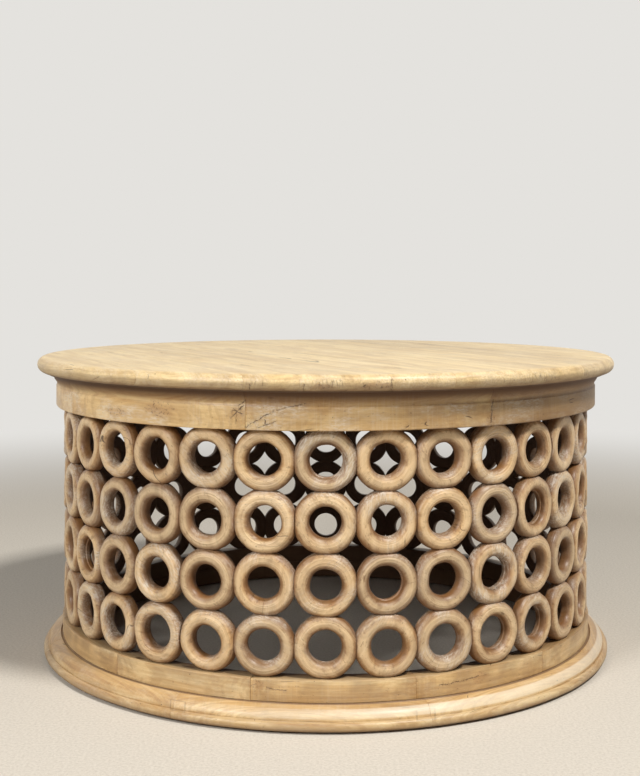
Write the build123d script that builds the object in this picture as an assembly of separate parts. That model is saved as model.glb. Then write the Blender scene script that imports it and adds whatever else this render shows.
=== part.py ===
from build123d import *
from math import cos, degrees, pi, radians, sin, sqrt, tan
import os

# African drum table: a planked round top on an apron ring, a wall of turned rings, and a
# banded and moulded base. Millimetres. The origin is on the ground under the table's centre,
# +Z is up, and the middle of ring column 1 faces -Y. An azimuth is counted from -Y towards +X.

# ---- Driving dimensions ----------------------------------------------------------------------
# Ring wall
drum_radius = 416.0  # outer face of the rings
ring_height = 81.0  # from bottom flat to top flat
ring_rows = 4
ring_planed = 2.2  # wood planed off a turned ring at each of its flats
ring_depth = 18.0  # along the ring's own axis
ring_bore = 42.0
ring_front_round = 10.5  # rounding of the outer edge, on the face that shows
ring_mouth_round = 10.0  # rounding of the hole's edge, on the face that shows
ring_back_round = 4.0  # both edges of the inner face
rounding_limit = 0.49  # the largest share of a ring's wall that one rounding may take

# Top
top_overhang = 41.0  # beyond the outer face of the rings
top_thickness = 24.0
top_upper_round = 11.0
top_under_round = 12.5  # how far the underside's curve runs in from the rim
top_fillet_height = 2.0  # square step that the cutter leaves below the curve
top_fillet_ledge = 1.0
board_turn = 26.0  # the boards run front to back, turned by this many degrees
board_shares = [65, 104, 59, 108, 86, 124, 116, 115, 137]  # widths, in proportion, left to right

# Apron
apron_height = 51.0
apron_overhang = 12.0  # beyond the outer face of the rings
apron_width = 36.0
apron_arris = 3.0
cove_reach = 5.0
cove_height = 16.0
cove_lip = 3.0
apron_segments = 8
apron_joint_azimuth = -14.0

# Base band
band_height = 30.0
band_overhang = 3.0
band_width = 26.0
band_arris = 1.2
band_segments = 12
band_joint_azimuth = -13.5

# Foot moulding
foot_height = 28.0
foot_overhang = 32.0  # beyond the outer face of the rings
foot_width = 60.0
nose_height = 12.0
nose_upper_round = 5.0
nose_lower_round = 4.0
nose_ledge = 2.0
ovolo_fillet = 1.5
quirk_width = 3.0  # groove between the band and the ovolo
quirk_depth = 2.0
crest_drop = 0.5  # from the top of the foot down to the ovolo's crest
foot_segments = 8
foot_joint_azimuth = -27.0

# Glides
glide_count = 8
glide_diameter = 30.0
glide_thickness = 3.0
glide_edge = 0.8

# Battens and splice blocks
batten_width = 60.0
batten_thickness = 22.0
batten_offset = 190.0  # from the centre to the batten's middle
batten_edge = 4.0
block_width = 96.0
block_depth = 30.0
block_height = 38.0
block_edge = 6.0
block_gap = 3.0  # between a batten's end and the circle that the blocks stand on

# Dowels and screws
dowel_diameter = 6.0
dowel_reach = 8.0  # into each of the two pieces
dowel_edge = 0.8
screw_diameter = 4.0
screw_head = 8.0
screw_head_height = 2.6
screw_point = 4.0
screw_bite = 13.0  # into the upper piece
screw_sink = 0.5  # head below the surface
screw_edge_distance = 14.0
block_screw_spacing = 56.0
foot_counterbore = 11.0
foot_counterbore_depth = 8.0

# Clearances
glue_line = 0.1  # between curved faces
hole_clearance = 0.1  # around a dowel or a screw
end_clearance = 0.5  # beyond a dowel's end
cut_past = 0.5  # how far a cutter runs past the face that it opens

# ---- Worked out from them --------------------------------------------------------------------
ring_columns = round(2 * pi * drum_radius / ring_height)
column_angle = 360 / ring_columns
foot_base = glide_thickness
band_base = foot_base + foot_height
wall_base = band_base + band_height
apron_base = wall_base + ring_rows * ring_height
top_base = apron_base + apron_height
table_height = top_base + top_thickness
top_radius = drum_radius + top_overhang
apron_outer = drum_radius + apron_overhang
apron_inner = apron_outer - apron_width
band_outer = drum_radius + band_overhang
foot_outer = drum_radius + foot_overhang
foot_inner = foot_outer - foot_width
dowel_circle = drum_radius - ring_depth / 2
band_middle = band_outer - band_width / 2
board_direction = (sin(radians(board_turn)), -cos(radians(board_turn)))
across_boards = (cos(radians(board_turn)), sin(radians(board_turn)))
board_unit = 2 * top_radius / sum(board_shares)
board_joints = [
    board_unit * sum(board_shares[:count]) - top_radius for count in range(1, len(board_shares))
]


def around(azimuth):
    """Turns a piece modelled facing -Y to the azimuth, in degrees."""
    return Rot(0, 0, azimuth)


def spot(azimuth, radius, height):
    """The place at that azimuth, distance from the table's axis and height."""
    turn = radians(azimuth)
    return Pos(radius * sin(turn), -radius * cos(turn), height)


def on_boards(across, along, height):
    """A place under the top, measured across the boards and along them."""
    x = across * across_boards[0] + along * board_direction[0]
    y = across * across_boards[1] + along * board_direction[1]
    return Pos(x, y, height)


def joint_azimuths(first, count):
    """Azimuths of the joints of a ring of equal segments."""
    return [first + index * 360 / count for index in range(count)]


def segment(profile, azimuth, angle):
    """Sweeps a profile, drawn in the XZ plane, round the table's axis from the azimuth on."""
    return around(azimuth - 90) * revolve(profile, Axis.Z, angle)


def save(node, solids):
    """Writes one node, as one solid or as a group of separate solids."""
    shape = solids[0] if len(solids) == 1 else Compound(solids)
    export_step(shape, f"parts/{node}.step")


# ---- Dowels and screws -----------------------------------------------------------------------
def dowel():
    """A chamfered dowel, centred on the joint that it crosses."""
    pin = Cylinder(dowel_diameter / 2, 2 * dowel_reach)
    return chamfer(pin.edges(), dowel_edge)


def dowel_hole():
    """The hole for a dowel's two halves, centred on the joint."""
    return Cylinder(dowel_diameter / 2 + hole_clearance, 2 * (dowel_reach + end_clearance))


def screw(length):
    """A countersunk wood screw, driven up from its head at the origin."""
    with BuildLine() as outline:
        Polyline(
            (0, 0),
            (screw_head / 2, 0),
            (screw_diameter / 2, screw_head_height),
            (screw_diameter / 2, length - screw_point),
            (0, length),
            close=True,
        )
    return revolve(Plane.XZ * make_face(outline.line), Axis.Z)


def screw_hole(length):
    """The countersunk hole for that screw, open below its head."""
    head = screw_head / 2 + hole_clearance
    shank = screw_diameter / 2 + hole_clearance
    below_head = -screw_sink - cut_past
    with BuildLine() as outline:
        Polyline(
            (0, below_head),
            (head, below_head),
            (head, 0),
            (shank, screw_head_height),
            (shank, length + end_clearance),
            (0, length + end_clearance),
            close=True,
        )
    return revolve(Plane.XZ * make_face(outline.line), Axis.Z)


def column_azimuths():
    return [index * column_angle for index in range(ring_columns)]


def dowel_spots(height):
    return [spot(azimuth, dowel_circle, height) for azimuth in column_azimuths()]


# ---- Ring wall -------------------------------------------------------------------------------
def ring_section():
    """Half the section of a turned ring: radius across, its own axis upwards, face at 0."""
    bore = ring_bore / 2
    rim = ring_height / 2 + ring_planed
    back = -ring_depth
    widest_round = rounding_limit * (rim - bore)
    mouth = min(ring_mouth_round, widest_round)
    front = min(ring_front_round, widest_round)
    with BuildLine() as outline:
        Line((bore, back + ring_back_round), (bore, -mouth))
        RadiusArc((bore, -mouth), (bore + mouth, 0), mouth)
        Line((bore + mouth, 0), (rim - front, 0))
        RadiusArc((rim - front, 0), (rim, -front), front)
        Line((rim, -front), (rim, back + ring_back_round))
        RadiusArc((rim, back + ring_back_round), (rim - ring_back_round, back), ring_back_round)
        Line((rim - ring_back_round, back), (bore + ring_back_round, back))
        RadiusArc((bore + ring_back_round, back), (bore, back + ring_back_round), ring_back_round)
    return Plane.XZ * make_face(outline.line)


def ring():
    """One turned ring, planed top and bottom and to a wedge at its sides, drilled for dowels."""
    turned = revolve(ring_section(), Axis.Z)
    reach = drum_radius + ring_depth
    half_width = reach * tan(radians(column_angle / 2))
    with BuildLine() as outline:
        Polyline(
            (0, -drum_radius),
            (half_width, ring_depth),
            (-half_width, ring_depth),
            close=True,
        )
    room = extrude(Plane.XZ * make_face(outline.line), ring_height / 2, both=True)
    planed = turned & room
    for side in (-1, 1):
        drill = Pos(0, side * ring_height / 2, -ring_depth / 2) * Rot(90, 0, 0) * dowel_hole()
        planed -= drill
    facing_front = Plane(origin=(0, -drum_radius, 0), x_dir=(1, 0, 0), z_dir=(0, -1, 0))
    return facing_front * planed


def ring_wall():
    """The columns of rings, glued flat to flat."""
    one_ring = ring().solid()
    for index, azimuth in enumerate(column_azimuths()):
        rings = []
        for row in range(ring_rows):
            height = wall_base + (row + 0.5) * ring_height
            rings.append(Pos(0, 0, height) * around(azimuth) * one_ring)
        save(f"ring_column_{index + 1:02d}", rings)


def wall_dowels():
    """Dowels from ring to ring, and into the band below and the apron above."""
    one_dowel = dowel()
    pins = []
    for joint in range(ring_rows + 1):
        height = wall_base + joint * ring_height
        pins += [place * one_dowel for place in dowel_spots(height)]
    save("wall_dowels", pins)


# ---- Base band -------------------------------------------------------------------------------
def band_section():
    """A plain rectangle with its outer arrises eased."""
    inner = band_outer - band_width
    top = wall_base
    with BuildLine() as outline:
        Line((inner, band_base), (band_outer - band_arris, band_base))
        RadiusArc(
            (band_outer - band_arris, band_base),
            (band_outer, band_base + band_arris),
            -band_arris,
        )
        Line((band_outer, band_base + band_arris), (band_outer, top - band_arris))
        RadiusArc((band_outer, top - band_arris), (band_outer - band_arris, top), -band_arris)
        Line((band_outer - band_arris, top), (inner, top))
        Line((inner, top), (inner, band_base))
    return Plane.XZ * make_face(outline.line)


def foot_screw_length():
    return foot_height - foot_counterbore_depth + screw_bite


def foot_screw_spots():
    """One screw up through the foot into the middle of each band segment."""
    half_segment = 180 / band_segments
    height = foot_base + foot_counterbore_depth
    joints = joint_azimuths(band_joint_azimuth, band_segments)
    return [spot(azimuth + half_segment, band_middle, height) for azimuth in joints]


def base_band():
    """The segments that the ring wall stands on."""
    holes = [place * dowel_hole() for place in dowel_spots(wall_base)]
    holes += [place * screw_hole(foot_screw_length()) for place in foot_screw_spots()]
    profile = band_section()
    segments = []
    for azimuth in joint_azimuths(band_joint_azimuth, band_segments):
        piece = segment(profile, azimuth, 360 / band_segments) - holes
        segments.append(piece.solid())
    save("base_band", segments)


# ---- Foot moulding ---------------------------------------------------------------------------
def foot_section():
    """Square step below, rounded nose, fillet, ovolo, and the quirk against the band."""
    floor = foot_base
    ledge = foot_base + nose_height
    crest_height = band_base - crest_drop
    nose_inner = foot_outer - nose_upper_round
    ovolo_outer = nose_inner - nose_ledge
    crest = band_outer + quirk_width
    quirk_bottom = band_outer + quirk_width / 2
    ovolo_base = ledge + ovolo_fillet
    with BuildLine() as outline:
        Line((foot_inner, floor), (foot_outer - nose_lower_round, floor))
        RadiusArc(
            (foot_outer - nose_lower_round, floor),
            (foot_outer, floor + nose_lower_round),
            -nose_lower_round,
        )
        Line((foot_outer, floor + nose_lower_round), (foot_outer, ledge - nose_upper_round))
        RadiusArc((foot_outer, ledge - nose_upper_round), (nose_inner, ledge), -nose_upper_round)
        Line((nose_inner, ledge), (ovolo_outer, ledge))
        Line((ovolo_outer, ledge), (ovolo_outer, ovolo_base))
        EllipticalCenterArc(
            (crest, ovolo_base),
            ovolo_outer - crest,
            crest_height - ovolo_base,
            start_angle=0,
            arc_size=90,
        )
        Line((crest, crest_height), (quirk_bottom, band_base - quirk_depth))
        Line((quirk_bottom, band_base - quirk_depth), (band_outer, band_base))
        Line((band_outer, band_base), (foot_inner, band_base))
        Line((foot_inner, band_base), (foot_inner, floor))
    return Plane.XZ * make_face(outline.line)


def foot_moulding():
    """The turned foot ring, in segments, bored from below for the foot screws."""
    holes = []
    for place in foot_screw_spots():
        bore = Cylinder(foot_counterbore / 2, foot_counterbore_depth)
        holes.append(place * Pos(0, 0, -foot_counterbore_depth / 2) * bore)
        holes.append(place * screw_hole(foot_screw_length()))
    profile = foot_section()
    segments = []
    for azimuth in joint_azimuths(foot_joint_azimuth, foot_segments):
        piece = segment(profile, azimuth, 360 / foot_segments) - holes
        segments.append(piece.solid())
    save("foot_moulding", segments)
    one_screw = screw(foot_screw_length())
    save("foot_screws", [place * one_screw for place in foot_screw_spots()])


def glides():
    """Round pads under the foot, between its joints."""
    pad = Cylinder(glide_diameter / 2, glide_thickness)
    pad = chamfer(pad.edges().group_by(Axis.Z)[0], glide_edge)
    circle = (foot_inner + foot_outer) / 2
    azimuths = joint_azimuths(foot_joint_azimuth + 180 / glide_count, glide_count)
    save("glides", [spot(azimuth, circle, glide_thickness / 2) * pad for azimuth in azimuths])


# ---- Apron -----------------------------------------------------------------------------------
def apron_section():
    """A plain face, eased below, that sweeps out through a cove to a lip under the top."""
    lip_radius = apron_outer + cove_reach
    cove_base = top_base - cove_lip - cove_height
    cove_radius = (cove_reach**2 + cove_height**2) / (2 * cove_reach)
    with BuildLine() as outline:
        Line((apron_inner, apron_base), (apron_outer - apron_arris, apron_base))
        RadiusArc(
            (apron_outer - apron_arris, apron_base),
            (apron_outer, apron_base + apron_arris),
            -apron_arris,
        )
        Line((apron_outer, apron_base + apron_arris), (apron_outer, cove_base))
        RadiusArc((apron_outer, cove_base), (lip_radius, top_base - cove_lip), cove_radius)
        Line((lip_radius, top_base - cove_lip), (lip_radius, top_base))
        Line((lip_radius, top_base), (apron_inner, top_base))
        Line((apron_inner, top_base), (apron_inner, apron_base))
    return Plane.XZ * make_face(outline.line)


def apron():
    """The apron's segments, butt jointed, drilled below for the top row of dowels."""
    holes = [place * dowel_hole() for place in dowel_spots(apron_base)]
    profile = apron_section()
    for index, azimuth in enumerate(joint_azimuths(apron_joint_azimuth, apron_segments)):
        piece = segment(profile, azimuth, 360 / apron_segments) - holes
        save(f"apron_segment_{index + 1}", [piece.solid()])


# ---- Splice blocks ---------------------------------------------------------------------------
def block_screw_length():
    return block_height + screw_bite


def block_screw_spots():
    """Two screws in each block, side by side."""
    middle = apron_inner - glue_line - block_depth / 2
    half_turn = degrees(block_screw_spacing / 2 / middle)
    height = top_base - block_height + screw_sink
    spots = []
    for azimuth in joint_azimuths(apron_joint_azimuth, apron_segments):
        for side in (-1, 1):
            spots.append(spot(azimuth + side * half_turn, middle, height))
    return spots


def splice_blocks():
    """Blocks glued behind the apron's joints and screwed up into the top."""
    back = apron_inner - glue_line
    # Twice as deep as the block: the outer half is rounded off to the apron's inner face.
    raw = Box(block_width, 2 * block_depth, block_height)
    raw = chamfer(raw.edges().group_by(Axis.Z)[0].filter_by(Axis.X), block_edge)
    middle = top_base - block_height / 2
    blocks = []
    holes = [place * screw_hole(block_screw_length()) for place in block_screw_spots()]
    room = Pos(0, 0, middle) * Cylinder(back, block_height)
    for azimuth in joint_azimuths(apron_joint_azimuth, apron_segments):
        piece = around(azimuth) * Pos(0, -back, middle) * raw
        blocks.append(((piece & room) - holes).solid())
    save("splice_blocks", blocks)
    one_screw = screw(block_screw_length())
    save("block_screws", [place * one_screw for place in block_screw_spots()])


# ---- Battens ---------------------------------------------------------------------------------
def batten_length():
    """As long as fits inside the circle of the blocks' inner faces."""
    circle = apron_inner - glue_line - block_depth - block_gap
    return 2 * sqrt(circle**2 - (batten_offset + batten_width / 2) ** 2)


def board_middles():
    edges = [-top_radius] + board_joints + [top_radius]
    return [(low + high) / 2 for low, high in zip(edges, edges[1:])]


def batten_screw_spots(side):
    """One screw into each board that the batten crosses."""
    reach = batten_length() / 2 - screw_edge_distance
    height = top_base - batten_thickness + screw_sink
    middles = [middle for middle in board_middles() if abs(middle) < reach]
    return [on_boards(middle, side * batten_offset, height) for middle in middles]


def batten_screw_length():
    return batten_thickness + screw_bite


def battens():
    """Two battens across the boards, with eased ends, and their screws."""
    raw = Box(batten_length(), batten_width, batten_thickness)
    raw = chamfer(raw.edges().group_by(Axis.Z)[0], batten_edge)
    screws = []
    for name, side in (("batten_front", 1), ("batten_back", -1)):
        middle = top_base - batten_thickness / 2
        piece = on_boards(0, side * batten_offset, middle) * Rot(0, 0, board_turn) * raw
        spots = batten_screw_spots(side)
        piece -= [place * screw_hole(batten_screw_length()) for place in spots]
        save(name, [piece.solid()])
        screws += [place * screw(batten_screw_length()) for place in spots]
    save("batten_screws", screws)


# ---- Top -------------------------------------------------------------------------------------
def top_section():
    """Half the section of the top: a small square fillet below, then the rounded rim."""
    waist = top_base + top_thickness - top_upper_round
    curve_start = top_radius - top_under_round
    fillet_radius = curve_start - top_fillet_ledge
    fillet_top = top_base + top_fillet_height
    with BuildLine() as outline:
        Line((0, top_base), (fillet_radius, top_base))
        Line((fillet_radius, top_base), (fillet_radius, fillet_top))
        Line((fillet_radius, fillet_top), (curve_start, fillet_top))
        EllipticalCenterArc(
            (curve_start, waist),
            top_under_round,
            waist - fillet_top,
            start_angle=270,
            arc_size=90,
        )
        RadiusArc(
            (top_radius, waist), (top_radius - top_upper_round, table_height), -top_upper_round
        )
        Line((top_radius - top_upper_round, table_height), (0, table_height))
        Line((0, table_height), (0, top_base))
    return Plane.XZ * make_face(outline.line)


def top_boards():
    """The boards, glued edge to edge and then turned as one disc."""
    disc = revolve(top_section(), Axis.Z)
    screws = batten_screw_spots(1) + batten_screw_spots(-1)
    disc -= [place * screw_hole(batten_screw_length()) for place in screws]
    disc -= [place * screw_hole(block_screw_length()) for place in block_screw_spots()]
    rim = top_radius + cut_past
    edges = [-rim] + board_joints + [rim]
    for index, (low, high) in enumerate(zip(edges, edges[1:])):
        middle = top_base + top_thickness / 2
        place = on_boards((low + high) / 2, 0, middle) * Rot(0, 0, board_turn)
        room = place * Box(high - low, 2 * rim, top_thickness + 2 * cut_past)
        save(f"top_board_{index + 1}", [(disc & room).solid()])


os.makedirs("parts", exist_ok=True)
ring_wall()
wall_dowels()
base_band()
foot_moulding()
glides()
apron()
splice_blocks()
battens()
top_boards()
print("columns of rings:", ring_columns)
print("height:", table_height)
print("joints between the boards:", [round(joint, 1) for joint in board_joints])
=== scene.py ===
import math
import random

import bmesh
import bpy
from mathutils import Matrix, Vector, noise


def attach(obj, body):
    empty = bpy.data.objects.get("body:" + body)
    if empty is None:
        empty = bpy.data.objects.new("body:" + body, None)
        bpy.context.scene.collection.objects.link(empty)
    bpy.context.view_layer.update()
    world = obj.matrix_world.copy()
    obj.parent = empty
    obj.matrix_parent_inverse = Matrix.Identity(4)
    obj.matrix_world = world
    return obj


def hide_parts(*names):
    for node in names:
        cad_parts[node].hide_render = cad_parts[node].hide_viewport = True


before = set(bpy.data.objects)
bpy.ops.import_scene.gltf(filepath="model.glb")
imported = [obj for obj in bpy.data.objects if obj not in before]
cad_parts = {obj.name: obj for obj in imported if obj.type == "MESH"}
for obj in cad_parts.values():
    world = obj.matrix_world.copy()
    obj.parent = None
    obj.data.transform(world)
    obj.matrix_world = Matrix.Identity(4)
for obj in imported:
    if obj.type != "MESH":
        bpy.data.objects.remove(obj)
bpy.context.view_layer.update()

# ---- Foot moulding ---------------------------------------------------------------------------
# A ring of pale mango wood in eight segments, butt jointed and turned as one: a rounded nose
# below, a fillet, an ovolo above it and a quirk against the band. Limed, then waxed.
up = Vector((0, 0, 1))
foot_joint = -27.0  # the first joint's azimuth, in degrees from the front
foot_segments = 8
# Across the front the segments darken towards the left: painted shade as well as tone.
foot_tones_and_shade = [-0.3, 0.3, -0.4, 0.2, -0.8, 0.3, -0.5, -0.7]  # greyer below 0, golden above
nose_top = 0.0155
crown_bottom = 0.0190
crown_top = 0.0290
quirk_bottom = 0.0285
quirk_reach = 0.4215
sharp_angle = 34  # degrees between two faces, from which their edge looks sharp
ovolo = "ovolo"  # a corner rounded by nearly the whole of its sides
ovolo_share = 97  # percent of each side
foot_corners = [
    (0.3880, 0.0030, 0),
    (0.4480, 0.0030, 0.0040),
    (0.4480, 0.0150, 0.0050),
    (0.4410, 0.0150, 0),
    (0.4410, 0.0165, 0),
    (0.4410, 0.0305, ovolo),
    (0.4220, 0.0305, 0),
    (0.4205, 0.0290, 0),
    (0.4190, 0.0310, 0),
    (0.3880, 0.0310, 0),
]


def direction(azimuth):
    """The way outward at an azimuth, in degrees from the front towards +X."""
    turn = math.radians(azimuth)
    return Vector((math.sin(turn), -math.cos(turn), 0))


def everything(bm):
    return bm.verts[:] + bm.edges[:] + bm.faces[:]


def outline(corners, steps=5, filled=True):
    """A closed outline in the XZ plane. Each corner is its radius, its height and its rounding."""
    bm = bmesh.new()
    verts = [bm.verts.new((radius, 0, height)) for radius, height, rounding in corners]
    bm.faces.new(verts)
    for vert, (radius, height, rounding) in zip(verts, corners):
        if rounding:
            full = rounding == ovolo
            bmesh.ops.bevel(
                bm,
                geom=[vert],
                offset=ovolo_share if full else rounding,
                offset_type="PERCENT" if full else "OFFSET",
                affect="VERTICES",
                segments=2 * steps if full else steps,
                profile=0.5,
                material=-1,
            )
    if not filled:
        bmesh.ops.delete(bm, geom=bm.faces[:], context="FACES_ONLY")
    return bm


def ease(bm, edges, width):
    """Takes a fine flat off those edges."""
    bmesh.ops.bevel(
        bm,
        geom=edges,
        offset=width,
        offset_type="OFFSET",
        affect="EDGES",
        segments=1,
        profile=0.5,
        material=-1,
    )


def turned_arc(corners, azimuth, angle, steps, joint):
    """Turns an outline round the table's axis, from the azimuth on, with eased butt joints."""
    bm = outline(corners)
    start = Matrix.Rotation(math.radians(azimuth - 90), 3, "Z")
    bmesh.ops.rotate(bm, verts=bm.verts, matrix=start)
    bmesh.ops.spin(
        bm,
        geom=everything(bm),
        cent=(0, 0, 0),
        axis=up,
        angle=math.radians(angle),
        steps=steps,
    )
    bmesh.ops.recalc_face_normals(bm, faces=bm.faces)
    ease(bm, [e for e in bm.edges if any(len(f.verts) > 4 for f in e.link_faces)], joint)
    return bm


def segments_of(corners, first_joint, count, steps, joint):
    """Each segment of a turned ring in turn, with its number and its middle's azimuth."""
    for index in range(count):
        azimuth = first_joint + index * 360 / count
        part = turned_arc(corners, azimuth, 360 / count, steps, joint)
        yield index, part, azimuth + 180 / count


def outward_at(vert):
    """The level way from the table's axis out through a vertex."""
    return Vector((vert.co.x, vert.co.y, 0)).normalized()


def worked(bm, depth, length, seed):
    """Lets the surface wander in and out from the table's axis, as hand work does."""
    for vert in bm.verts:
        wander = noise.noise(vert.co / length + Vector((seed, seed, 0)))
        vert.co += outward_at(vert) * depth * wander


def rising(value, low, high):
    """0 at low, 1 at high, and straight between them."""
    return max(0.0, min(1.0, (value - low) / (high - low)))


def lay_grain(bm, along, across, tone, chance, liming, stain_and_shade, lathe=None, inner=1.6):
    """Stores each point's place in its plank, and its tone, end grain, liming and staining.

    liming is a number, or gives one for a vertex. The staining function gives staining, dirt
    and painted shade, and under 0 is worn pale, a painted highlight. The inner side of the
    table is darker, unwashed wood and painted shade, by so much as inner says, and at 0 no
    value goes under 0. lathe is the middle of a ring.
    """
    grain = bm.verts.layers.float_vector.new("grain")
    finish = bm.verts.layers.float_vector.new("finish")
    tooling = bm.verts.layers.float_vector.new("tooling")
    depth = along.cross(across)
    shift = Vector([chance.uniform(-9, 9) for axis in range(3)])
    lathe_shift = chance.uniform(-9, 9)
    bm.normal_update()
    for vert in bm.verts:
        place = Vector((vert.co.dot(along), vert.co.dot(across), vert.co.dot(depth)))
        vert[grain] = place + shift
        limed = liming(vert) if callable(liming) else liming
        vert[finish] = (tone, abs(vert.normal.dot(along)), limed)
        facing = vert.normal.dot(outward_at(vert))
        # Painted shade, with unwashed wood, on the inner side, where the normal turns in.
        inside = min(1.0, max(stain_and_shade(vert), -inner * facing))
        if lathe:
            axis = lathe.xy.to_3d().normalized()
            radius = (vert.co - lathe - axis * (vert.co - lathe).dot(axis)).length
        else:
            radius = vert.co.z
            facing = max(facing, vert.normal.z)
        vert[tooling] = (radius + lathe_shift, inside, facing)


def collect(whole, part):
    """Adds one finished part to the piece that it belongs to."""
    mesh = bpy.data.meshes.new("part")
    part.to_mesh(mesh)
    part.free()
    whole.from_mesh(mesh)
    bpy.data.meshes.remove(mesh)


def finished(name, bm, material, slot, *nodes):
    """Makes the piece's object, in the place of those nodes of the frame."""
    mesh = bpy.data.meshes.new(name)
    bm.to_mesh(mesh)
    bm.free()
    mesh.shade_smooth()
    mesh.set_sharp_from_angle(angle=math.radians(sharp_angle))
    mesh.materials.append(material)
    piece = bpy.data.objects.new(name, mesh)
    bpy.context.scene.collection.objects.link(piece)
    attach(piece, "root")
    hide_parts(*nodes)


def paint(code):
    """The colour of a six-digit code, as the shaders count it."""
    levels = [int(code[start : start + 2], 16) / 255 for start in (0, 2, 4)]
    return [v / 12.92 if v < 0.04045 else ((v + 0.055) / 1.055) ** 2.4 for v in levels] + [1]


def new_material(name):
    """A new material, with its node tree and its shader."""
    material = bpy.data.materials.new(name)
    material.use_nodes = True
    tree = material.node_tree
    return material, tree, tree.nodes["Principled BSDF"]


def add(tree, kind, inputs=None, **settings):
    """Adds a node. A socket is given its value, or the output that feeds it."""
    node = tree.nodes.new("ShaderNode" + kind)
    for key, value in settings.items():
        setattr(node, key, value)
    for key, value in (inputs or {}).items():
        if isinstance(value, bpy.types.NodeSocket):
            tree.links.new(value, node.inputs[key])
        else:
            node.inputs[key].default_value = value
    return node


def maths(tree, operation, *values):
    return add(tree, "Math", dict(enumerate(values)), operation=operation).outputs[0]


def product(tree, first, *others):
    for other in others:
        first = maths(tree, "MULTIPLY", first, other)
    return first


def vectors(tree, operation, *values):
    node = add(tree, "VectorMath", dict(enumerate(values)), operation=operation)
    number = operation in ("DOT_PRODUCT", "DISTANCE", "LENGTH")
    return node.outputs["Value" if number else "Vector"]


def mottle(tree, place, stretch, detail=2.0, rough=0.5, result="Fac"):
    """Noise that changes stretch times in a metre, the same or its own number each way."""
    if not isinstance(stretch, tuple):
        stretch = (stretch, stretch, stretch)
    spread = vectors(tree, "MULTIPLY", place, stretch)
    inputs = {"Vector": spread, "Scale": 1.0, "Detail": detail, "Roughness": rough}
    return add(tree, "TexNoise", inputs).outputs[result]


def between(tree, value, low, high):
    """0 at low, 1 at high, and smooth on the way."""
    inputs = {"Value": value, "From Min": low, "From Max": high}
    return add(tree, "MapRange", inputs, interpolation_type="SMOOTHSTEP").outputs["Result"]


def hairline(tree, value, wide, fine):
    """A thin line where a noise passes through its middle, fading from fine to wide."""
    off = maths(tree, "ABSOLUTE", maths(tree, "SUBTRACT", value, 0.5))
    return between(tree, off, wide, fine)


def tint(tree, colour, code, mask, amount):
    """Lays a colour over another where the mask is, as strongly as amount says."""
    inputs = {0: maths(tree, "MULTIPLY", mask, amount), 6: colour, 7: paint(code)}
    return add(tree, "Mix", inputs, data_type="RGBA", clamp_result=True).outputs[2]


def ramp(tree, value, *stops):
    """A colour ramp with those (position, colour code) stops."""
    node = add(tree, "ValToRGB", {"Fac": value})
    while len(node.color_ramp.elements) < len(stops):
        node.color_ramp.elements.new(0.5)
    for element, (position, code) in zip(node.color_ramp.elements, stops):
        element.position = position
        element.color = paint(code)
    return node.outputs["Color"]


def emboss(tree, shader, height, strength, depth):
    """Raises the surface where that height is more."""
    bump = add(tree, "Bump", {"Height": height, "Strength": strength, "Distance": depth})
    tree.links.new(bump.outputs["Normal"], shader.inputs["Normal"])


def places(tree):
    """Where each point is on its object."""
    return add(tree, "TexCoord").outputs["Object"]


def front_view(tree):
    """Places on the front of the table, seen square on, and 1 there and 0 behind."""
    place = places(tree)
    ahead = maths(tree, "LESS_THAN", vectors(tree, "DOT_PRODUCT", place, (0, 1, 0)), 0.0)
    return vectors(tree, "MULTIPLY", place, (1, 0, 1)), ahead


def wandering(tree, flat, scale, stray):
    """Those places, strayed by up to that much sideways and up, and by half on average."""
    waver = mottle(tree, flat, scale, 3.0, result="Color")
    return vectors(tree, "MULTIPLY_ADD", waver, (stray, 0, stray), flat)


def crack(tree, start, end, width):
    """A wandering crack between two places, each sideways and up."""
    stray = 0.007
    flat, ahead = front_view(tree)
    flat = wandering(tree, flat, 70, stray)
    begin = Vector((start[0] + stray / 2, 0, start[1] + stray / 2))
    run = Vector((end[0] - start[0], 0, end[1] - start[1]))
    way = vectors(tree, "SUBTRACT", flat, begin)
    share = vectors(tree, "DOT_PRODUCT", way, run / run.length_squared)
    share = add(tree, "Clamp", {"Value": share}).outputs[0]
    share = add(tree, "CombineXYZ", {0: share, 1: share, 2: share}).outputs[0]
    gap = vectors(tree, "DISTANCE", way, vectors(tree, "MULTIPLY", share, run))

    opening = maths(tree, "MULTIPLY_ADD", mottle(tree, flat, 260), 2.6 * width, -0.7 * width)
    split = between(tree, gap, opening, maths(tree, "MULTIPLY", opening, 0.3))
    split = product(tree, split, between(tree, mottle(tree, flat, 190, 3.0), 0.36, 0.46))
    frayed = between(tree, mottle(tree, flat, 420), 0.42, 0.62)
    halo = product(tree, between(tree, gap, 3.2 * width, 0.5 * width), frayed, 0.38)
    return product(tree, maths(tree, "MAXIMUM", split, halo), ahead)


def knot_mark(tree, place, size):
    """A stained, crazed patch about a knot, by its place sideways and up and its half widths."""
    stray = 0.014
    flat, ahead = front_view(tree)
    flat = wandering(tree, flat, 80, stray)
    middle = (place[0] + stray / 2, 0, place[1] + stray / 2)
    way = vectors(tree, "SUBTRACT", flat, middle)
    way = vectors(tree, "MULTIPLY", way, (1 / size[0], 0, 1 / size[1]))
    inside = product(tree, between(tree, vectors(tree, "LENGTH", way), 1.1, 0.5), ahead)
    crazed = between(tree, mottle(tree, flat, 330, 3.0, 0.7), 0.53, 0.64)
    return inside, product(tree, inside, crazed)


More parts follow.
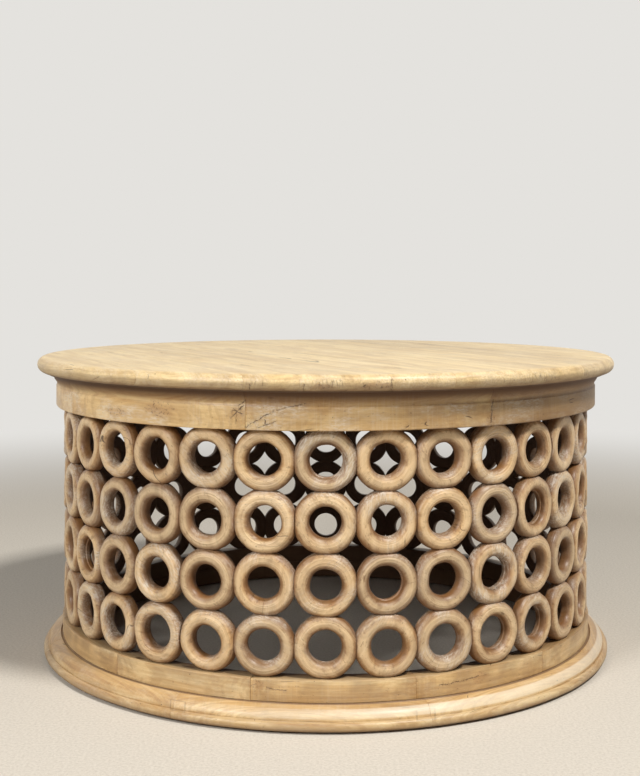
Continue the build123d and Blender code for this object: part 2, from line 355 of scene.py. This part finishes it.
def inlay(tree, place, size):
    """A let-in patch: its face, and the fine line round it."""
    flat, ahead = front_view(tree)
    way = vectors(tree, "ABSOLUTE", vectors(tree, "SUBTRACT", flat, (place[0], 0, place[1])))
    way = vectors(tree, "MULTIPLY", way, (1 / size[0], 0, 1 / size[1]))
    sideways, _, upwards = add(tree, "SeparateXYZ", {0: way}).outputs
    edge = maths(tree, "MAXIMUM", sideways, upwards)
    face = product(tree, between(tree, edge, 1.0, 0.94), ahead)
    line = between(tree, maths(tree, "ABSOLUTE", maths(tree, "SUBTRACT", edge, 1.0)), 0.14, 0.04)
    return face, product(tree, line, ahead)


def growth(tree, place, tone, tones, contrast):
    """Wavering bands of growth, streaks in them, fibres in those, and thin layers across."""
    waver = mottle(tree, place, (5, 15, 15), 1.0, result="Color")
    wavy = vectors(tree, "MULTIPLY_ADD", waver, (0, 0.016, 0.016), place)
    bands = mottle(tree, wavy, (1.7, 40, 26), 3.0)
    streaks = mottle(tree, wavy, (7, 230, 170), 3.0, 0.6)
    fibres = mottle(tree, wavy, (30, 1500, 1500))
    figure = maths(tree, "MULTIPLY_ADD", bands, 0.62 * contrast, 0.5 - 0.5 * contrast)
    figure = maths(tree, "MULTIPLY_ADD", streaks, 0.38 * contrast, figure)
    figure = maths(tree, "MULTIPLY_ADD", tone, 0.05, figure)
    colour = ramp(tree, figure, *zip((0.34, 0.47, 0.62), tones))
    colour = tint(tree, colour, "8a6a42", between(tree, fibres, 0.55, 0.30), 0.18)
    layers = between(tree, mottle(tree, wavy, (4, 36, 400)), 0.55, 0.42)
    colour = tint(tree, colour, "94683a", layers, 0.34 * contrast)
    return colour, wavy, streaks, fibres


def small_knots(tree, colour, wavy):
    """Now and then the growth closes round a dark eye."""
    spread = vectors(tree, "MULTIPLY", wavy, (5, 11, 11))
    cell = add(tree, "TexVoronoi", {"Vector": spread, "Scale": 1.0})
    away = cell.outputs["Distance"]
    lot = add(tree, "SeparateXYZ", {0: cell.outputs["Color"]}).outputs[0]
    knot = product(tree, between(tree, away, 0.20, 0.04), between(tree, lot, 0.84, 0.86))
    eddy = maths(tree, "SINE", maths(tree, "MULTIPLY", away, 120.0))
    eddy = product(tree, between(tree, eddy, -0.2, 0.9), knot)
    colour = tint(tree, colour, "a87b45", knot, 0.30)
    return tint(tree, colour, "5e4326", eddy, 0.40), eddy


def handled_and_shaded(tree, colour, place, tone, facing, cream, rub_and_highlight, grime_and_shade):
    """Golden or grey by the piece, paler where it faces out, rubbed where hands reach and a
    painted highlight, and browner where it turns away, dirt and painted shade.
    """
    colour = tint(tree, colour, "c89b60", between(tree, tone, 0.2, 2.2), 0.45)
    colour = tint(tree, colour, "a5967f", between(tree, tone, -0.2, -2.2), 0.55)
    # Where the surface faces out: rubbing, and a painted highlight.
    colour = tint(tree, colour, cream, between(tree, facing, 0.86, 1.0), rub_and_highlight)
    facing_shade = maths(tree, "MULTIPLY_ADD", mottle(tree, place, 50, 3.0), 0.5, facing)
    # Where the surface turns away: dirt, and painted shade.
    colour = tint(tree, colour, "774c24", between(tree, facing_shade, 1.28, 0.60), grime_and_shade)
    # Scuffs, kept to where the surface turns away: partly painted shade.
    scuffs = between(tree, mottle(tree, place, (85, 130, 130), 4.0, 0.65), 0.50, 0.66)
    edges = product(tree, between(tree, facing_shade, 1.42, 0.95), grime_and_shade, 0.80)
    return tint(tree, colour, "704d2b", scuffs, edges)


def waxed(tree, colour, place, end_grain, grime_and_shade):
    """Grey smudges of old wax, pits, end grain that drank more of it, and specks."""
    smudge = between(tree, mottle(tree, place, (16, 30, 30), 4.0, 0.6), 0.50, 0.72)
    colour = tint(tree, colour, "948067", smudge, 0.22 + 0.22 * grime_and_shade)
    pits = between(tree, mottle(tree, place, (110, 190, 190)), 0.66, 0.72)
    colour = tint(tree, colour, "5c3f22", pits, 0.5 * grime_and_shade)
    speckle = between(tree, mottle(tree, place, 420), 0.42, 0.62)
    drunk = maths(tree, "MULTIPLY_ADD", speckle, 0.22, 0.10)
    colour = tint(tree, colour, "7d6140", between(tree, end_grain, 0.62, 0.98), drunk)
    specks = mottle(tree, place, (190, 420, 420), 1.0)
    specks = between(tree, specks, 0.71 - 0.05 * grime_and_shade, 0.80 - 0.05 * grime_and_shade)
    return tint(tree, colour, "6d4d2c", specks, 0.45), specks


def lime_left(tree, place, liming):
    """Clouds of lime, caught in the pores."""
    cloudy = between(tree, mottle(tree, place, (14, 26, 26), 3.0), 0.40, 0.62)
    caught = between(tree, mottle(tree, place, (90, 420, 420), 4.0, 0.7), 0.44, 0.62)
    return product(tree, cloudy, maths(tree, "MULTIPLY_ADD", caught, 0.65, 0.20), liming)


def checks(tree, place, wavy, end_grain):
    """Thin dark cracks along the grain in a few places, and splits in the end grain."""
    line = hairline(tree, mottle(tree, wavy, (0.8, 62, 62), 0.0), 0.014, 0.003)
    here = between(tree, mottle(tree, place, (17, 34, 34), 1.0), 0.64, 0.70)
    check = product(tree, line, here, between(tree, end_grain, 0.8, 0.5))
    line = hairline(tree, mottle(tree, place, (10, 240, 30)), 0.030, 0.006)
    here = between(tree, mottle(tree, place, (30, 24, 30)), 0.54, 0.64)
    split = product(tree, line, here, between(tree, end_grain, 0.62, 0.98), 0.8)
    return maths(tree, "MAXIMUM", check, split)


def saw_scratches(tree, place, saw_marks):
    """Fine marks across the grain, in patches."""
    marks = between(tree, mottle(tree, place, (330, 16, 16), 2.0, 0.6), 0.52, 0.36)
    sawn = between(tree, mottle(tree, place, (5, 9, 9), 1.0), 0.44, 0.56)
    return product(tree, marks, sawn, saw_marks)


def gouge_marks(tree, tooling, lathe_marks):
    """The gouge's fine grooves and broader ridges, round the lathe's axis."""
    groove = between(tree, mottle(tree, tooling, (620, 0, 0)), 0.55, 0.35)
    ridge = between(tree, mottle(tree, tooling, (270, 0, 0), 1.0), 0.56, 0.40)
    return product(tree, groove, lathe_marks), product(tree, ridge, lathe_marks)


def mango_wood(
    name,
    brown,
    honey,
    cream,
    limed,
    stained="563822",
    contrast=1.0,
    saw_marks=0.0,
    lathe_marks=0.0,
    grime_and_shade=0.2,
    rub_and_highlight=0.2,
    wax=0.1,
    cracks=(),
    knots=(),
    patches=(),
):
    """Waxed mango wood, by its tones from heartwood to sapwood and the liming left in it."""
    material, tree, shader = new_material(name)
    place = add(tree, "Attribute", attribute_name="grain").outputs["Vector"]
    finish = add(tree, "Attribute", attribute_name="finish").outputs["Vector"]
    tone, end_grain, liming = add(tree, "SeparateXYZ", {0: finish}).outputs
    tooling = add(tree, "Attribute", attribute_name="tooling").outputs["Vector"]
    inside, facing = add(tree, "SeparateXYZ", {0: tooling}).outputs[1:]

    colour, wavy, streaks, fibres = growth(tree, place, tone, (brown, honey, cream), contrast)
    colour, eddy = small_knots(tree, colour, wavy)
    colour = handled_and_shaded(tree, colour, place, tone, facing, cream, rub_and_highlight, grime_and_shade)
    colour, specks = waxed(tree, colour, place, end_grain, grime_and_shade)
    lime = lime_left(tree, place, liming)
    colour = tint(tree, colour, limed, lime, 1.0)

    check = checks(tree, place, wavy, end_grain)
    for knot in knots:
        eye, crazing = knot_mark(tree, *knot)
        colour = tint(tree, colour, "a67c50", eye, 0.40)
        check = maths(tree, "MAXIMUM", check, product(tree, crazing, 0.75))
    for patch in patches:
        face, line = inlay(tree, *patch)
        colour = tint(tree, colour, "c9a676", face, 0.35)
        check = maths(tree, "MAXIMUM", check, product(tree, line, 0.35))
    for start, end, width in cracks:
        check = maths(tree, "MAXIMUM", check, crack(tree, start, end, width))
    colour = tint(tree, colour, "3c2712", check, 0.85)

    scratch = saw_scratches(tree, place, saw_marks)
    colour = tint(tree, colour, limed, scratch, 0.45)
    groove, ridge = gouge_marks(tree, tooling, lathe_marks)
    kept = between(tree, mottle(tree, place, (40, 60, 60), 3.0), 0.36, 0.60)
    dirt = product(tree, maths(tree, "MAXIMUM", groove, ridge), kept)
    colour = tint(tree, colour, "8a6136", dirt, 0.30)
    # Worn pale where the inside mask is under 0: a painted highlight.
    colour = tint(tree, colour, "f8f1dd", between(tree, inside, 0.0, -0.9), 0.55)
    # Staining, dirt and painted shade where it is over 0, in the stained colour.
    colour = tint(tree, colour, stained, inside, 0.92)
    tree.links.new(colour, shader.inputs["Base Color"])

    relief = [
        (fibres, 0.25),
        (check, -0.9),
        (specks, -0.5),
        (scratch, -0.4),
        (groove, -0.6),
        (ridge, -0.9),
        (lime, 0.30),
        (eddy, -0.35),
    ]
    height = product(tree, streaks, 0.6)
    for mark, rise in relief:
        height = maths(tree, "MULTIPLY_ADD", mark, rise, height)
    emboss(tree, shader, height, 0.7, 0.0006)

    dull = maths(tree, "MULTIPLY_ADD", lime, 0.20, 0.32)
    dull = maths(tree, "MULTIPLY_ADD", streaks, 0.18, dull)
    dull = maths(tree, "MULTIPLY_ADD", between(tree, inside, 0.0, 1.0), 0.25, dull)
    tree.links.new(dull, shader.inputs["Roughness"])
    shader.inputs["Specular IOR Level"].default_value = 0.45
    shader.inputs["Coat Weight"].default_value = wax
    shader.inputs["Coat Roughness"].default_value = 0.35
    return material


def foot_dirt_shade_and_light(vert):
    """Painted shade in the quirk, scuffs and painted shade under the nose, and a painted
    highlight on the front of the crown, stronger to the right.
    """
    # Painted shade in the quirk.
    if vert.co.z > quirk_bottom and vert.co.xy.length < quirk_reach:
        return 0.7
    # A painted highlight on the front of the crown, stronger to the right.
    if crown_bottom < vert.co.z < crown_top and vert.co.y < 0.1:
        return -0.6 * rising(vert.co.x, -0.30, 0.10)
    # Darker under the nose: scuffs and dust, and painted shade.
    return 0.18 * (vert.co.z < nose_top) + 0.45 * rising(vert.co.z, 0.0110, 0.0050)


base_wood = mango_wood(
    "limed_mango_base",
    "9b7442",
    "c29c66",
    "e4cb9c",
    "ddd3c2",
    contrast=0.95,
    saw_marks=0.15,
    cracks=[
        ((-0.076, 0.050), (-0.050, 0.046), 0.0010),
        ((0.150, 0.046), (0.205, 0.050), 0.0010),
    ],
    knots=[((-0.089, 0.052), (0.013, 0.008)), ((0.207, 0.048), (0.014, 0.008))],
    patches=[((-0.194, 0.020), (0.0100, 0.0052)), ((0.130, 0.0184), (0.0120, 0.0052))],
)
chance = random.Random(12)
foot = bmesh.new()
for index, part, middle in segments_of(
    foot_corners, foot_joint, foot_segments, steps=18, joint=0.0003
):
    worked(part, depth=0.0004, length=0.05, seed=index)
    lay_grain(part, direction(middle + 90), up, foot_tones_and_shade[index], chance, 0.2, foot_dirt_shade_and_light)
    collect(foot, part)
finished("foot_ring", foot, base_wood, "base_wood", "foot_moulding")

# ---- Glides ----------------------------------------------------------------------------------
# Eight round pads of hard black rubber under the foot, between its joints. They keep the wood
# a few millimetres off the ground.


def dress(name, material):
    """Gives a node of the frame its finish."""
    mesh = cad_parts[name].data
    mesh.materials.clear()
    mesh.materials.append(material)


rubber, tree, shader = new_material("black_rubber")
dust = mottle(tree, places(tree), 60, 3.0)
grit = mottle(tree, places(tree), 900, 3.0)
shade = ramp(tree, dust, (0.35, "141312"), (0.70, "2b2926"))
tree.links.new(shade, shader.inputs["Base Color"])
emboss(tree, shader, grit, 0.4, 0.0003)
shader.inputs["Roughness"].default_value = 0.75
dress("glides", rubber)

# ---- Base band -------------------------------------------------------------------------------
# Twelve curved segments of the same wood stand on the foot, butt jointed, with a plain face.
# Their top edge, which carries the rings, is worn and a little uneven from joint to joint.
band_joint = -13.5
band_segments = 12
band_face = 0.4190
band_bottom = 0.0310
band_top = 0.0610
band_corners = [
    (0.3930, band_bottom, 0),
    (band_face, band_bottom, 0.0012),
    (band_face, band_top, 0.0015),
    (0.3930, band_top, 0),
]


def chip_top(bm, seed):
    """Wears the top outer edge down, more in some places than in others."""
    for vert in bm.verts:
        if vert.co.xy.length > band_face - 0.0025 and vert.co.z > band_top - 0.003:
            chip = noise.noise(vert.co / 0.022 + Vector((seed, 0, 0)))
            vert.co.z -= 0.0004 + 0.0012 * max(0.0, chip)


def band_painted_shade(vert):
    """Painted shade: dark in the quirk, and along the top, under the rings."""
    if vert.co.z < band_bottom + 0.0005:
        return 0.7
    return 0.3 if vert.co.z > band_top - 0.0020 else 0


band = bmesh.new()
for index, part, middle in segments_of(
    band_corners, band_joint, band_segments, steps=14, joint=0.0004
):
    step = chance.uniform(-0.0004, 0.0004)
    bmesh.ops.translate(part, verts=part.verts, vec=step * direction(middle))
    chip_top(part, index)
    worked(part, depth=0.0005, length=0.04, seed=20 + index)
    tone = chance.uniform(-0.6, 0.3)
    lay_grain(part, direction(middle + 90), up, tone, chance, 0.12, band_painted_shade)
    collect(band, part)
finished("band_ring", band, base_wood, "base_wood", "base_band")

# ---- Ring wall -------------------------------------------------------------------------------
# 32 columns of four rings turned from thick mango plank: a broad round outside, a crest, a
# softer round into the hole. Each is planed flat on four sides, where it is glued to the next.
columns = 32
ring_rows = 4
ring_height = 0.081
ring_depth = 0.018
ring_back_round = 0.004
wall_face = 0.416
half_column = math.radians(180 / columns)
glue_line = 0.00005


def spun(bm, steps):
    """Turns an open outline right round the lathe's axis."""
    bmesh.ops.spin(
        bm,
        geom=everything(bm),
        cent=(0, 0, 0),
        axis=up,
        angle=math.tau,
        steps=steps,
        use_merge=True,
    )


def planed(bm, point, normal):
    """Planes off what lies past a plane, closes the face, and gives the edges round it."""
    cut = bmesh.ops.bisect_plane(
        bm, geom=everything(bm), dist=1e-6, plane_co=point, plane_no=normal, clear_outer=True
    )["geom_cut"]
    seam = [e for e in cut if isinstance(e, bmesh.types.BMEdge)]
    if seam:
        bmesh.ops.holes_fill(bm, edges=seam, sides=0)
    return seam


def ring_blank(chance):
    """A ring as it leaves the lathe, its face up at the origin. No two are quite alike."""
    rim = chance.triangular(0.0417, 0.0441, 0.0428)
    bore = chance.uniform(0.0205, 0.0222)
    step = chance.choice((0, 0, 0, 0.0016))
    corners = [
        (bore, -ring_depth, ring_back_round),
        (rim, -ring_depth, ring_back_round),
        (rim, 0, chance.uniform(0.0095, 0.0112)),
        (bore + step, 0, chance.uniform(0.0082, 0.0098)),
    ]
    if step:
        corners += [(bore + step, -0.0095, 0), (bore, -0.0105, 0)]
    bm = outline(corners, filled=False)
    spun(bm, 44)
    bmesh.ops.recalc_face_normals(bm, faces=bm.faces)
    seed = Vector([chance.uniform(-50, 50) for axis in range(3)])
    stray = Vector((chance.uniform(-0.0013, 0.0013), chance.uniform(-0.0013, 0.0013), 0))
    bm.normal_update()
    for vert in bm.verts:
        inner = (rim - vert.co.xy.length) / (rim - bore)
        dent = 0.0010 * noise.noise(vert.co / 0.022 + seed)
        dent += 0.0004 * noise.noise(vert.co / 0.008 + seed)
        vert.co += vert.normal * dent + stray * inner
    return bm


def turned_ring(height, azimuth, chance):
    """One ring of the wall, set in its place and finished."""
    bm = ring_blank(chance)
    lean = Matrix.Rotation(chance.gauss(0, 0.012), 3, "X")
    lean = lean @ Matrix.Rotation(chance.gauss(0, 0.012), 3, "Y")
    upright = Matrix.Rotation(math.radians(90), 3, "X") @ lean
    bmesh.ops.rotate(bm, verts=bm.verts, matrix=upright)
    bmesh.ops.translate(bm, verts=bm.verts, vec=(0, -wall_face, height))
    half = ring_height / 2 - glue_line
    planed(bm, (0, 0, height + half), up)
    planed(bm, (0, 0, height - half), -up)
    for side in (-1, 1):
        normal = Vector((side * math.cos(half_column), math.sin(half_column), 0))
        planed(bm, -glue_line * normal, normal)
    bmesh.ops.recalc_face_normals(bm, faces=bm.faces)
    bmesh.ops.rotate(bm, verts=bm.verts, matrix=Matrix.Rotation(math.radians(azimuth), 3, "Z"))

    outward = direction(azimuth)
    sideways = direction(azimuth + 90)
    middle = outward * wall_face + Vector((0, 0, height))
    limed = 0.1 + 0.9 * chance.random() ** 2

    def from_middle(vert):
        place = vert.co - middle
        return abs(place.z), abs(place.dot(sideways))

    def liming(vert):
        """More beside the flats, and where the hole's low side and the top edge face up, as lime
        and a painted highlight.
        """
        rise, side = from_middle(vert)
        reach = math.hypot(rise, side)
        # Lime and a painted highlight where the hole's low side faces up.
        hollow_lime_and_light = max(0.0, vert.normal.z) if reach < 0.027 else 0.0
        # Lime and a painted highlight where the top edge faces up.
        top_edge_lime_and_light = max(0.0, vert.normal.z) if reach > 0.036 else 0.0
        crease = max(rise, side) > 0.0375
        return min(1.0, limed + 0.6 * hollow_lime_and_light + 0.3 * crease + 0.4 * top_edge_lime_and_light)

    def stain_and_shade(vert):
        """Painted shade, with dirt: browner in the hole, but for its low side, and round the edge,
        most where it faces down.
        """
        reach = math.hypot(*from_middle(vert))
        # Painted shade in the hole, left out where it faces up.
        hole = 0.50 * rising(reach, 0.0275, 0.0225) * (1 - max(0.0, vert.normal.z))
        # Painted shade round the outer edge, more where it faces down.
        edge = rising(reach, 0.0370, 0.0410) * (0.32 - 0.22 * vert.normal.z)
        return max(hole, edge)

    turn = chance.uniform(0, math.pi)
    along = sideways * math.cos(turn) + up * math.sin(turn)
    tone = chance.gauss(0, 1.3)
    lay_grain(bm, along, outward.cross(along), tone, chance, liming, stain_and_shade, lathe=middle)
    return bm


ring_wood = mango_wood(
    "limed_mango_rings",
    "946c40",
    "be9a6e",
    "e2c89f",
    "d6cec0",
    contrast=0.85,
    lathe_marks=0.8,
    grime_and_shade=0.85,
    rub_and_highlight=0.5,
    wax=0.15,
)
chance = random.Random(5)
for column in range(columns):
    stack = bmesh.new()
    for row in range(ring_rows):
        height = band_top + (row + 0.5) * ring_height
        collect(stack, turned_ring(height, column * 360 / columns, chance))
    number = f"{column + 1:02d}"
    finished(f"rings_{number}", stack, ring_wood, "ring_wood", f"ring_column_{number}")

# ---- Dowels ----------------------------------------------------------------------------------
# Plain beech pins with chamfered ends, hidden where each ring stands on the next, on the band
# and under the apron.
beech, tree, shader = new_material("beech")
flecks = mottle(tree, places(tree), (800, 800, 60), 3.0)
shade = ramp(tree, flecks, (0.35, "c39a6b"), (0.65, "dcbb8d"))
tree.links.new(shade, shader.inputs["Base Color"])
shader.inputs["Roughness"].default_value = 0.6
dress("wall_dowels", beech)

# ---- Apron -----------------------------------------------------------------------------------
# Eight curved segments on top of the rings, butt jointed. A plain sawn face ends above in a fine
# arris, and a cove sweeps out from behind it to a narrow lip under the top.
apron_joint = -14.0
apron_segments = 8
apron_face = 0.4280
apron_bottom = 0.3850
apron_top = 0.4360
arris = 0.4160
apron_corners = [
    (0.3920, apron_bottom, 0),
    (apron_face, apron_bottom, 0.0020),
    (apron_face, arris, 0.0006),
    (0.4267, 0.4180, 0.0016),
    (0.4267, 0.4212, 0.0034),
    (0.4328, 0.4300, 0.0040),
    (0.4328, apron_top, 0),
    (0.3920, apron_top, 0),
]


def apron_liming(vert):
    """More along the lower edge, and on the arris as lime and a painted highlight."""
    low_edge = rising(vert.co.z, apron_bottom + 0.014, apron_bottom)
    # The arris line is lime and a painted highlight.
    return 0.22 + 0.5 * low_edge + 0.6 * (arris - 0.001 < vert.co.z < arris + 0.0015)


def apron_stain_and_shade(vert):
    """Painted shade, with patina, darker as the cove runs up under the top, and a painted
    shadow of the top, browner round the right of the front.
    """
    # A painted shadow of the top, browner round the right of the front.
    painted_shadow = 0.52 * rising(vert.co.x, 0.02, 0.30) * (vert.co.y < 0.10)
    # Painted shade, with patina, up the cove under the top.
    cove = 1.2 * rising(vert.co.z, arris - 0.0005, arris + 0.0182) ** 0.85
    return max(painted_shadow, cove)


apron_wood = mango_wood(
    "limed_mango_apron",
    "946b36",
    "c19a62",
    "e2c590",
    "ddd3c2",
    stained="4c2904",
    contrast=0.95,
    saw_marks=0.25,
    cracks=[
        ((-0.102, 0.390), (-0.066, 0.411), 0.0013),
        ((-0.066, 0.411), (-0.026, 0.421), 0.0009),
        ((-0.086, 0.389), (-0.064, 0.398), 0.0010),
        ((-0.122, 0.401), (-0.106, 0.416), 0.0016),
        ((-0.120, 0.410), (-0.108, 0.406), 0.0014),
        ((-0.112, 0.416), (-0.103, 0.424), 0.0013),
        ((-0.116, 0.394), (-0.115, 0.403), 0.0010),
        ((0.220, 0.388), (0.224, 0.420), 0.0015),
        ((0.105, 0.388), (0.108, 0.391), 0.0018),
    ],
    knots=[
        ((-0.114, 0.409), (0.010, 0.010)),
        ((-0.287, 0.398), (0.018, 0.010)),
        ((-0.222, 0.407), (0.026, 0.013)),
        ((0.222, 0.397), (0.004, 0.012)),
    ],
)
chance = random.Random(3)
for index, part, middle in segments_of(
    apron_corners, apron_joint, apron_segments, steps=20, joint=0.0004
):
    worked(part, depth=0.0004, length=0.045, seed=40 + index)
    tone = chance.uniform(-1, 1)
    lay_grain(part, direction(middle + 90), up, tone, chance, apron_liming, apron_stain_and_shade)
    finished(f"apron_{index + 1}", part, apron_wood, "apron_wood", f"apron_segment_{index + 1}")

# ---- Splice blocks and battens ---------------------------------------------------------------
# Blocks behind the apron's joints and two battens across the boards, in plain brown mango,
# all screwed up into the top.
board_turn = 26.0  # degrees between the run of the top's boards and the front
inner_wood, tree, shader = new_material("plain_mango")
turned = add(
    tree, "Mapping", {"Vector": places(tree), "Rotation": (0, 0, math.radians(-board_turn))}
).outputs["Vector"]
bands = mottle(tree, turned, (3, 60, 60), 4.0)
fibres = mottle(tree, turned, (30, 900, 900), 3.0)
shade = ramp(tree, bands, (0.35, "6b4a2a"), (0.50, "94693c"), (0.68, "b48a58"))
shade = tint(tree, shade, "4c3219", between(tree, fibres, 0.5, 0.3), 0.3)
tree.links.new(shade, shader.inputs["Base Color"])
emboss(tree, shader, fibres, 0.6, 0.0005)
shader.inputs["Roughness"].default_value = 0.7
for node in ("splice_blocks", "batten_front", "batten_back"):
    dress(node, inner_wood)

# ---- Screws ----------------------------------------------------------------------------------
# Plain steel wood screws, up through the foot, the blocks and the battens. Their heads are
# countersunk, and in the foot they sit at the end of a wider bore.
steel, tree, shader = new_material("screw_steel")
tarnish = mottle(tree, places(tree), 700, 3.0)
shade = ramp(tree, tarnish, (0.35, "8d8a84"), (0.65, "b9b6ae"))
tree.links.new(shade, shader.inputs["Base Color"])
dull = maths(tree, "MULTIPLY_ADD", tarnish, 0.4, 0.2)
tree.links.new(dull, shader.inputs["Roughness"])
shader.inputs["Metallic"].default_value = 1.0
for node in ("foot_screws", "block_screws", "batten_screws"):
    dress(node, steel)

# ---- Top -------------------------------------------------------------------------------------
# Nine boards, glued edge to edge and turned as one disc with a rounded rim. The cutter left a
# narrow square step under the round. Limed white along the grain and waxed.
board_joints = [-0.392, -0.288, -0.229, -0.121, -0.035, 0.089, 0.205, 0.320]
board_ease = 0.0004
top_reach = 0.4570
top_height = 0.4600
rim_bottom = 0.4380
rim_round = 0.0109
rim_inner = 0.4250
round_reach = 0.4480
rim_corners = [
    (rim_inner, apron_top, 0),
    (0.4435, apron_top, 0),
    (0.4435, rim_bottom, 0),
    (0.4445, rim_bottom, 0),
    (top_reach, rim_bottom, rim_round),
    (top_reach, top_height, rim_round),
    (rim_inner, top_height, 0),
]
along_boards = direction(board_turn)
across_boards = direction(board_turn + 90)


def top_disc():
    """The whole disc, before its joints are cut: its rim is turned, and worn here and there."""
    bm = outline(rim_corners, 9, filled=False)
    closing = [e for e in bm.edges if all(abs(v.co.x - rim_inner) < 1e-6 for v in e.verts)]
    bmesh.ops.delete(bm, geom=closing, context="EDGES")
    spun(bm, 256)
    bmesh.ops.holes_fill(bm, edges=[e for e in bm.edges if e.is_boundary], sides=0)
    bmesh.ops.recalc_face_normals(bm, faces=bm.faces)
    for vert in bm.verts:
        if vert.co.xy.length > rim_inner + 0.005:
            wear = 0.5 + 0.5 * noise.noise(vert.co / 0.080)
            vert.co -= outward_at(vert) * 0.0008 * wear
    return bm


def top_stain_and_light(vert):
    """Painted shade in the cutter's step, browner on the under half of the round from its own
    greyer tone and painted shade, and clean above, where the painted highlight is dropped
    at inner 0.
    """
    # Painted shade in the cutter's step.
    if vert.co.z < rim_bottom + 0.0005:
        return 1.0
    height = vert.co.z + 0.0020 * noise.noise(vert.co / 0.014)
    # The under half: its own greyer tone, and painted shade.
    under_shade = 0.42 * rising(height, 0.4515, 0.4475) + 0.40 * rising(height, 0.4430, 0.4390)
    # A painted highlight on the upper round; lay_grain drops it at inner 0.
    worn = 0.9 * rising(height, 0.4502, 0.4532)
    return under_shade - worn if vert.co.xy.length > round_reach else under_shade


top_wood = mango_wood(
    "limed_mango_top",
    "b5986b",
    "dabf8c",
    "edd5a3",
    "f2ead6",
    stained="5b4030",
    contrast=0.75,
    saw_marks=0.2,
    cracks=[
        ((0.0845, 0.4388), (0.0838, 0.4535), 0.0016),
        ((-0.0270, 0.4390), (-0.0275, 0.4475), 0.0011),
        ((-0.0960, 0.4400), (-0.0950, 0.4480), 0.0010),
        ((0.0490, 0.4440), (0.0505, 0.4460), 0.0018),
    ],
    knots=[((0.064, 0.4455), (0.026, 0.0055)), ((-0.004, 0.4450), (0.020, 0.0040))],
)
chance = random.Random(8)
disc = top_disc()
edges = [-0.5] + board_joints + [0.5]
for index, (low, high) in enumerate(zip(edges, edges[1:])):
    board = disc.copy()
    for side, edge in ((-1, low), (1, high)):
        seam = planed(board, across_boards * edge, across_boards * side)
        if seam:
            ease(board, seam, board_ease)
    bmesh.ops.recalc_face_normals(board, faces=board.faces)
    tone = chance.uniform(-1, 1)
    lay_grain(board, along_boards, across_boards, tone, chance, 0.3, top_stain_and_light, inner=0)
    finished(f"board_{index + 1}", board, top_wood, "top_wood", f"top_board_{index + 1}")
disc.free()

# ---- Ground and background -------------------------------------------------------------------
# Plain pale concrete underfoot, which fades into the pale background behind. The background
# lights nothing: only a softer glow from all round does.
background = "e4e2de"


def seen(tree):
    """1 where the camera, a gloss or a glass looks, and 0 for light on the table."""
    rays = add(tree, "LightPath").outputs
    plain = maths(tree, "MAXIMUM", rays["Is Camera Ray"], rays["Is Glossy Ray"])
    return maths(tree, "MAXIMUM", plain, rays["Is Transmission Ray"])


slab = bmesh.new()
bmesh.ops.create_grid(slab, x_segments=1, y_segments=1, size=12.0)
mesh = bpy.data.meshes.new("ground")
slab.to_mesh(mesh)
slab.free()
ground = bpy.data.objects.new("ground", mesh)
bpy.context.scene.collection.objects.link(ground)
concrete, tree, shader = new_material("pale_concrete")
grains = mottle(tree, places(tree), 260, 4.0, 0.7)
cloud = mottle(tree, places(tree), 5, 3.0)
shade = ramp(tree, grains, (0.30, "bdb6ab"), (0.60, "d6d0c6"))
shade = tint(tree, shade, "c8c2b8", cloud, 0.35)
tree.links.new(shade, shader.inputs["Base Color"])
shader.inputs["Roughness"].default_value = 0.9
away = between(tree, vectors(tree, "LENGTH", places(tree)), 1.2, 3.0)
haze = add(tree, "Emission", {"Color": paint(background), "Strength": 1.0}).outputs[0]
faded = product(tree, away, seen(tree))
either = add(tree, "MixShader", {0: faded, 1: shader.outputs[0], 2: haze})
tree.links.new(either.outputs[0], tree.nodes["Material Output"].inputs["Surface"])
mesh.materials.append(concrete)

world = bpy.data.worlds.new("studio")
bpy.context.scene.world = world
world.use_nodes = True
tree = world.node_tree
tree.nodes.clear()
soft = add(tree, "Background", {"Color": paint("f4f1ec"), "Strength": 0.14})
backdrop = add(tree, "Background", {"Color": paint(background), "Strength": 1.0})
either = add(tree, "MixShader", {0: seen(tree), 1: soft.outputs[0], 2: backdrop.outputs[0]})
add(tree, "OutputWorld", {"Surface": either.outputs[0]})

# ---- Lights ----------------------------------------------------------------------------------
# Two square lamps aimed at the middle of the table: one high on the right, and a broader, lower
# one on the left that fills the shadows.
aim = Vector((0, 0, 0.25))


def lamp(name, place, size, power, glow):
    light = bpy.data.lights.new(name, "AREA")
    light.size = size
    light.energy = power
    light.color = glow
    holder = bpy.data.objects.new(name, light)
    holder.location = place
    holder.rotation_euler = (aim - holder.location).to_track_quat("-Z", "Y").to_euler()
    bpy.context.scene.collection.objects.link(holder)


lamp("key", (1.9, -2.2, 4.2), 0.7, 222.0, (1.0, 0.97, 0.92))
lamp("fill", (-2.4, -3.0, 2.3), 1.1, 106.0, (1.0, 0.98, 0.95))

# ---- Camera ----------------------------------------------------------------------------------
# A little above the table's top and two metres in front of its middle, tipped down by a degree.
# The view is shifted down, so that the table's sides stay upright.
view_height = 776  # pixels, as the next two are
focal_length = 1240
view_shift = -88
tip = 0.99  # degrees, as the next is
turn = 0.25
lens = bpy.data.cameras.new("camera")
lens.sensor_width = 36.0
lens.lens = focal_length / view_height * lens.sensor_width
lens.shift_y = view_shift / view_height
camera = bpy.data.objects.new("camera", lens)
camera.location = (0.0, -2.014, 0.581)
camera.rotation_euler = (math.radians(90 - tip), 0, math.radians(turn))
bpy.context.scene.collection.objects.link(camera)
bpy.context.scene.camera = camera

bpy.context.scene.view_settings.view_transform = "Standard"
